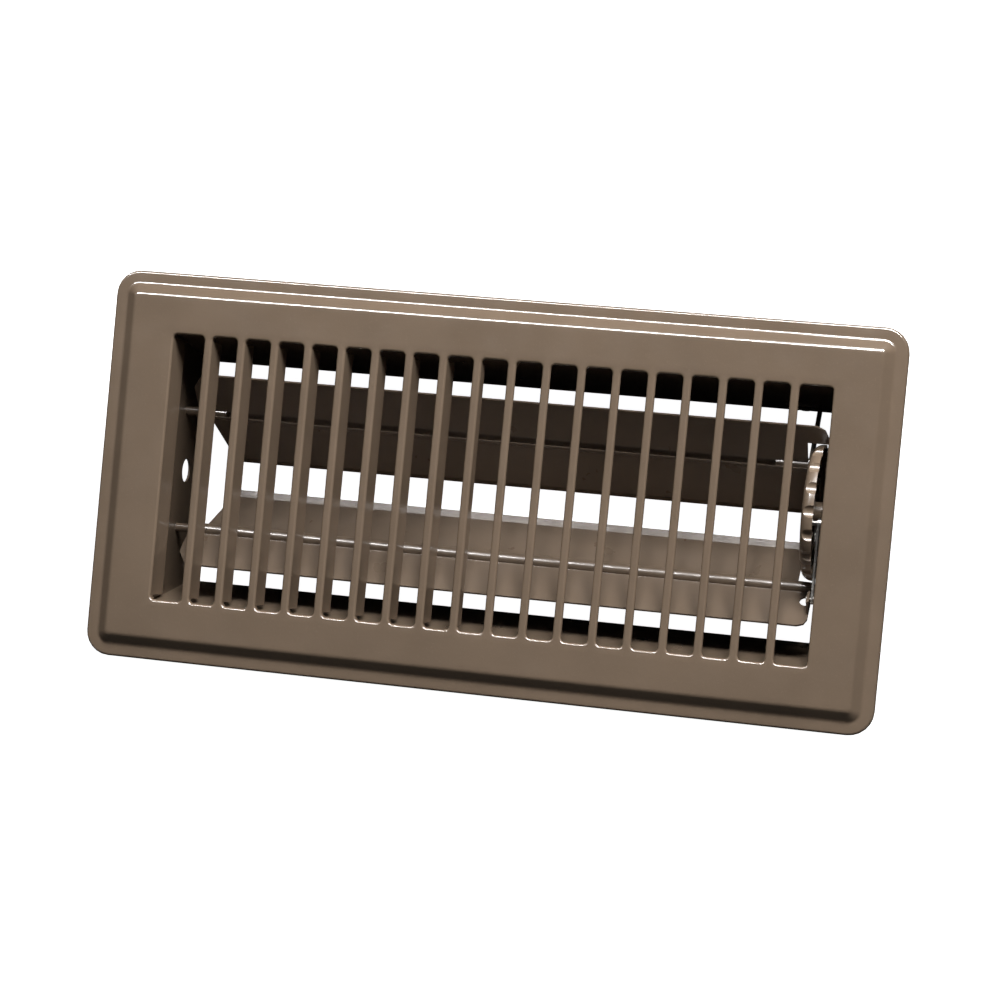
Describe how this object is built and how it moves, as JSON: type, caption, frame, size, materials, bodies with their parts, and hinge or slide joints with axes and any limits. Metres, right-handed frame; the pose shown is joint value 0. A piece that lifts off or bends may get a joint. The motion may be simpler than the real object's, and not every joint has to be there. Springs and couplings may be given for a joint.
{
  "type": "louvred air grille",
  "caption": "Drop-in floor register: pressed louvred faceplate over a tapered damper box with two opposed blades, turned by a scalloped thumb wheel.",
  "frame": {"origin": "centre of the faceplate's seat, the plane where its rolled edge rests on the floor", "axes": "+Z out of the face, +X along the faceplate towards the thumb wheel, +Y across it"},
  "size_m": [0.2922, 0.143, 0.0489],
  "materials": {
    "paint": "gloss",
    "steel": "satin"
  },
  "bodies": {
    "frame": {"face_plate": "paint", "long_wall_top": "paint", "long_wall_bottom": "paint", "end_wall_left": "paint", "end_wall_right": "paint", "corner_rivets": "paint", "pivot_bracket": "paint", "bracket_rivets": "paint", "wheel_axle": "paint", "wheel_washer": "steel", "spring_washer": "steel"},
    "upper_damper": {"upper_blade": "paint", "upper_pivot_left": "paint", "upper_pivot_right": "paint", "drive_finger": "paint"},
    "lower_damper": {"lower_blade": "paint", "lower_pivot_left": "paint", "lower_pivot_right": "paint", "ear_rivet": "paint"},
    "wheel": {"thumb_wheel": "paint", "crank_pin": "steel"},
    "link": {"drive_link": "steel"}
  },
  "joints": [
    {"name": "wheel_turn", "type": "hinge", "parent": "frame", "child": "wheel", "pos_m": [0.115, 0.0052, -0.0189], "axis": [1, 0, 0], "range_deg": [0, 46]},
    {"name": "upper_blade_turn", "type": "hinge", "parent": "frame", "child": "upper_damper", "pos_m": [0, 0.022, -0.0207], "axis": [1, 0, 0], "range_deg": [-46.01, 0.01]},
    {"name": "lower_blade_turn", "type": "hinge", "parent": "frame", "child": "lower_damper", "pos_m": [0, -0.022, -0.0207], "axis": [1, 0, 0], "range_deg": [-0.01, 46.01]},
    {"name": "link_swing", "type": "hinge", "parent": "wheel", "child": "link", "pos_m": [0.1192, 0.00148, -0.00929], "axis": [1, 0, 0], "range_deg": [-46.01, 0.01]}
  ],
  "couplings": [
    {"joint": "upper_blade_turn", "follows": "wheel_turn", "ratio": -1},
    {"joint": "lower_blade_turn", "follows": "wheel_turn", "ratio": 1},
    {"joint": "link_swing", "follows": "wheel_turn", "ratio": -1}
  ]
}
